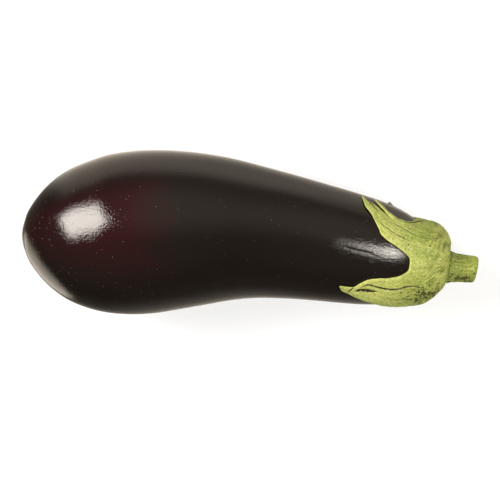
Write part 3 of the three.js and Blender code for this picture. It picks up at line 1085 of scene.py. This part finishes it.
def green_material():
    """Matt yellow-green calyx with fine fibres, pale rims and brown splits, and a mottled, cut stem. Painted
    shade darkens the near side, the underside and open slits, and folds carry painted light and shade.
    """
    material, n = new_material("green")
    place = n.add("TexCoord").outputs["Object"]
    fibre = n.attribute("fibre")
    rim, crack, mottle_and_shade = n.parts(n.attribute("tint"))[:3]
    stem, cut, fold_shading = n.parts(n.attribute("part"))[:3]
    strands = n.noise(n.scaled(fibre, STRAND_STRETCH), *STRANDS)
    veins = n.noise(n.scaled(fibre, VEIN_STRETCH), *VEINS)
    grit = n.noise(place, *GRIT)
    stains = n.noise(place, *STAINS)
    values = {
        "strands": strands,
        "veins": veins,
        "grit": grit,
        "stains": stains,
        "patches": n.noise(place, *PATCHES),
        "reach": n.parts(fibre)[0],
        "fold_shading": fold_shading,
    }

    # The calyx tones include painted light and shade on the folds.
    calyx_colour = n.laid_over(CALYX_GREEN, CALYX_TONES, values)
    stem_colour = n.laid_over(STEM_GREEN, STEM_TONES, values)
    colour = n.laid_over(n.mix(stem, calyx_colour, stem_colour), GRIT_TONES, values)
    colour = n.mix(n.math("MULTIPLY", rim, RIM_SHARE), colour, RIM_PALE)
    # Painted shade: deep green over the mottle field darkens the near side and underside.
    colour = n.mix(n.math("MULTIPLY", mottle_and_shade, MOTTLE_AND_SHADE_SHARE), colour, CALYX_DEEP)
    blots = n.ramp(n.math("MULTIPLY_ADD", mottle_and_shade, BLOTS_FROM_MOTTLE_AND_SHADE, stains), *BLOT_SPAN)
    colour = n.mix(blots, colour, MOTTLE_DARK)
    wood = n.mix(n.ramp(grit, *WOOD_SPAN), CUT_WOOD, CUT_PITH)
    wood = n.mix(n.ramp(cut, *CUT_RIM_SPAN), wood, MOTTLE_DARK)
    colour = n.mix(n.ramp(cut, *CUT_SPAN), colour, wood)
    # Painted shade: the deepest part of a split is black, as the inside of an open slit.
    slit_shade = n.ramp(crack, *SLIT_SHADE_SPAN)
    split = n.math("MULTIPLY", n.ramp(crack, *SPLIT_SPAN), n.ramp(stains, *SPLIT_BREAKS))
    split = n.math("MAXIMUM", split, slit_shade)
    colour = n.mix(split, colour, n.mix(slit_shade, CRACK_BROWN, SLIT_SHADE_BLACK))

    rough = n.ramp(strands, *GREEN_ROUGHNESS)
    fibres = n.bump(strands, STRAND_HEIGHT)
    cords = n.bump(veins, VEIN_HEIGHT, fibres)
    normal = n.bump(grit, GRIT_HEIGHT, cords)
    n.surface(Base_Color=colour, Roughness=rough, Specular_IOR_Level=GREEN_SPECULAR, Normal=normal)
    return material


def floor_material():
    material, n = new_material("pale_floor")
    clouds = n.noise(n.add("TexCoord").outputs["Object"], *FLOOR_CLOUDS)
    colour = n.mix(n.ramp(clouds, *FLOOR_TONES), FLOOR_PALE, FLOOR_PALER)
    rough = n.ramp(clouds, *FLOOR_ROUGHNESS)
    n.surface(Base_Color=colour, Roughness=rough, Emission_Color=WHITE, Emission_Strength=FLOOR_GLOW)
    return material


# The scene

def add_floor():
    """A pale floor that the gloss doesn't show, so that the skin's lower edge reflects the surround."""
    bpy.ops.mesh.primitive_circle_add(vertices=FLOOR_SIDES, radius=FLOOR_RADIUS, fill_type="NGON")
    floor = bpy.context.object
    floor.name = "floor"
    floor.location.z = -FLOOR_DROP
    floor.data.materials.append(floor_material())
    floor.visible_glossy = False


def add_world():
    """A soft studio surround: bright low down on the far side, dim overhead, dark on the near side."""
    world = bpy.data.worlds.new("studio")
    world.use_nodes = True
    bpy.context.scene.world = world
    n = Nodes(world.node_tree)
    way = n.add("TexCoord").outputs["Generated"]
    sideways, towards, height = n.parts(way)[:3]
    near = n.ramp(height, *NEAR_ABOVE)
    far = n.math("MULTIPLY", n.ramp(height, *FAR_ABOVE), n.ramp(sideways, *FAR_LEFT_SHARE))
    above = n.blend(n.ramp(towards, *NEAR_TO_FAR), near, far)

    level = n.math("SQRT", n.math("SUBTRACT", 1.0, n.math("MULTIPLY", height, height)))
    level = n.math("MAXIMUM", level, LEAST_LEVEL)
    turned = n.math("DIVIDE", sideways, level)
    far_right = n.math("DIVIDE", n.math("MULTIPLY_ADD", sideways, FAR_SIDE_TURN, towards), level)
    near_below = n.math("MULTIPLY", n.ramp(height, *NEAR_BELOW), n.ramp(turned, *NEAR_LEFT_SHARE))
    far_below = n.blend(n.ramp(height, *BELOW_TO_UNDER), FAR_BELOW, n.ramp(turned, *FAR_UNDER))
    below = n.blend(n.ramp(far_right, *NEAR_TO_FAR_BELOW), near_below, far_below)

    facing = n.add("VectorMath", {0: way, 1: PATCH_WAY}, operation="DOT_PRODUCT").outputs["Value"]
    facing = n.math("MULTIPLY_ADD", n.noise(way, *PATCH_NOISE), PATCH_RAGGED, facing)
    below = n.math("ADD", below, n.ramp(facing, *PATCH_EDGE))
    below = n.math("ADD", below, n.ramp(height, *UNDER_GLOW))
    strength = n.blend(n.ramp(height, *BELOW_TO_ABOVE), below, above)
    glow = n.add("Background", {"Color": SURROUND_COLOUR, "Strength": strength})
    n.add("OutputWorld", {"Surface": glow.outputs[0]})


def add_softbox(name, place, target, across, size, power, shows_in="all"):
    """A rectangular light that faces its target and shows in all surfaces, or in matt or gloss alone."""
    light = bpy.data.lights.new(name, "AREA")
    light.shape = "RECTANGLE"
    light.size, light.size_y = size
    light.energy = power
    light.color = LIGHT_COLOUR
    lamp = bpy.data.objects.new(name, light)
    back = (Vector(place) - Vector(target)).normalized()
    along = Vector(across).cross(back).cross(-back).normalized()
    lamp.matrix_world = Matrix((along, back.cross(along), back)).transposed().to_4x4()
    lamp.location = place
    lamp.visible_camera = False
    lamp.visible_diffuse = shows_in != "gloss"
    lamp.visible_glossy = shows_in != "matt"
    bpy.context.scene.collection.objects.link(lamp)


def add_camera():
    data = bpy.data.cameras.new("photo_view")
    data.sensor_width = CAMERA_SENSOR
    data.lens = CAMERA_LENS
    camera = bpy.data.objects.new("photo_view", data)
    camera.location = CAMERA_PLACE
    bpy.context.scene.collection.objects.link(camera)
    bpy.context.scene.camera = camera


fruit = fruit_piece(skin_material())
green = green_piece(green_material())
for piece, node, slot in [(fruit, "fruit", "skin"), (green, "calyx_and_stem", "green")]:
    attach(piece, "root")
    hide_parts(node)

add_floor()
add_world()
add_softbox("key_softbox", **KEY_SOFTBOX)
add_softbox("fill_softbox", **FILL_SOFTBOX)
add_softbox("neck_card", **NECK_CARD)
add_softbox("neck_dim_card", **NECK_DIM_CARD)
add_camera()
bpy.context.scene.view_settings.view_transform = "Standard"
